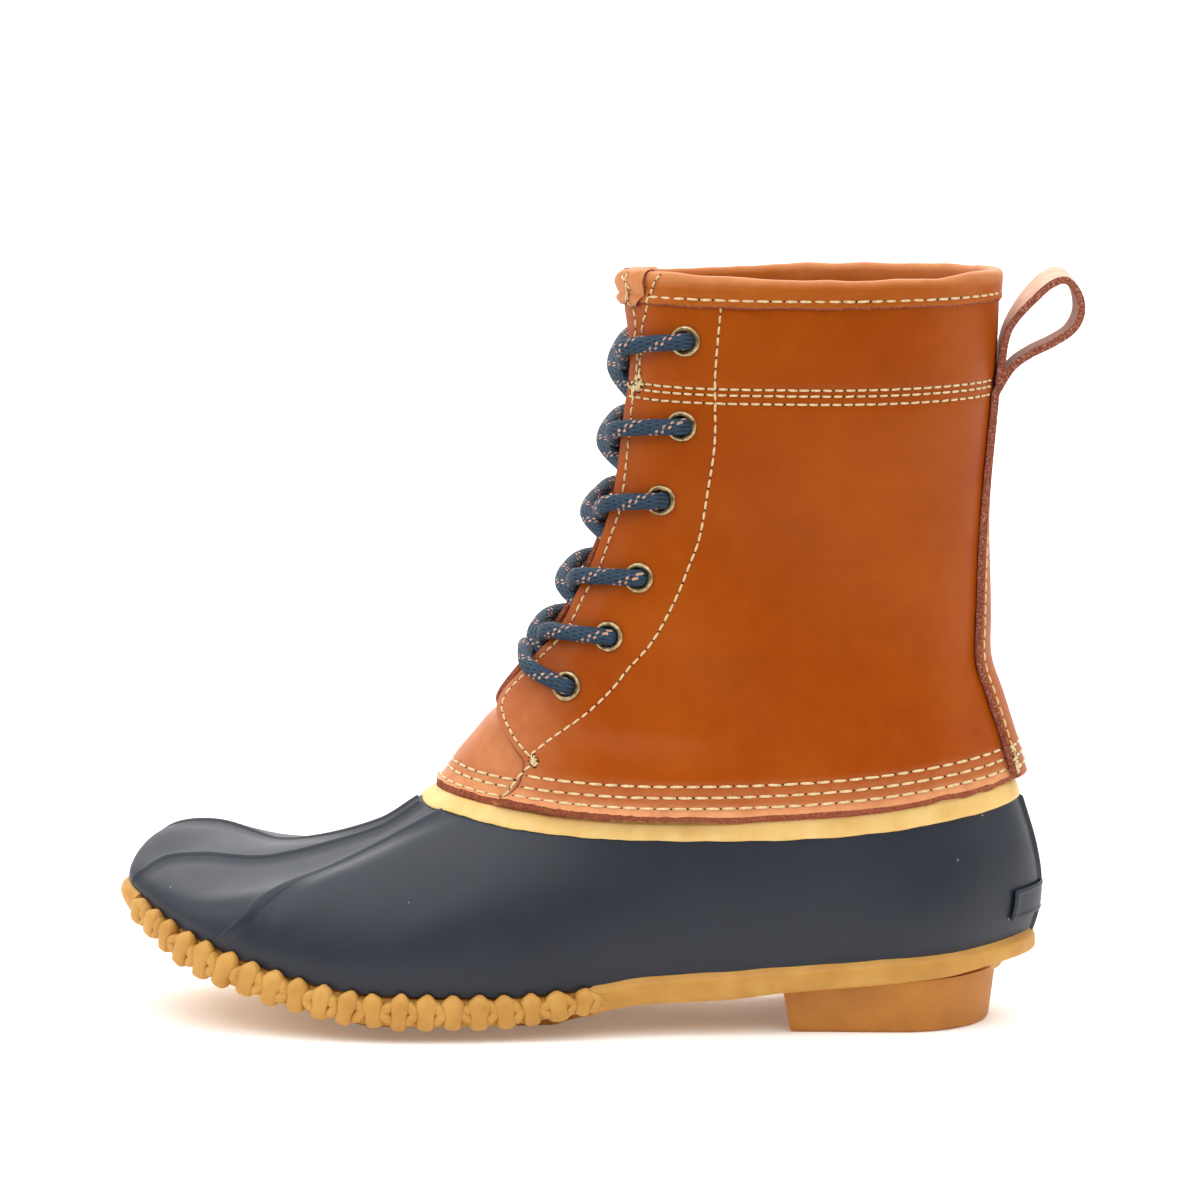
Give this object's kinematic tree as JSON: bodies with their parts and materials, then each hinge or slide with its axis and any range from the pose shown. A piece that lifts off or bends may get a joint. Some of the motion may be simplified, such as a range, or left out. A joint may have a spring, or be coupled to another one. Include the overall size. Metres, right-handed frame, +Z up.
{
  "type": "rubber-bottom lace-up boot",
  "caption": "Left lace-up boot with a moulded rubber foot, a tall stitched leather shaft, criss-cross lacing, a pull loop at the back and a gum rubber sole with a chain tread.",
  "frame": {"origin": "middle of the boot's footprint, on the floor that the heel and the forefoot stand on", "axes": "+Z up the shaft, +X from the toe to the heel, +Y towards the inner side of the foot"},
  "size_m": [0.2952, 0.1021, 0.2275],
  "materials": {
    "gum_rubber": "satin gum rubber",
    "navy_rubber": "semi-matt navy rubber",
    "insole_felt": "matt felt",
    "tan_leather": "waxed pebbled leather",
    "eyelet_brass": "antique brass",
    "lace_cord": "braided round cord with flecks"
  },
  "bodies": {
    "root": {"outsole": "gum_rubber", "heel": "gum_rubber", "rubber_lower": "navy_rubber", "insole": "insole_felt", "tongue": "tan_leather", "leather_shaft": "tan_leather", "collar": "tan_leather", "back_strap": "tan_leather", "heel_plate": "navy_rubber", "eyelet_outer_1": "eyelet_brass", "eyelet_outer_2": "eyelet_brass", "eyelet_outer_3": "eyelet_brass", "eyelet_outer_4": "eyelet_brass", "eyelet_outer_5": "eyelet_brass", "eyelet_outer_6": "eyelet_brass", "eyelet_inner_1": "eyelet_brass", "eyelet_inner_2": "eyelet_brass", "eyelet_inner_3": "eyelet_brass", "eyelet_inner_4": "eyelet_brass", "eyelet_inner_5": "eyelet_brass", "eyelet_inner_6": "eyelet_brass", "lace_bar": "lace_cord", "lace_cross_1": "lace_cord", "lace_cross_2": "lace_cord", "lace_cross_3": "lace_cord", "lace_cross_4": "lace_cord", "lace_cross_5": "lace_cord"}
  },
  "joints": []
}
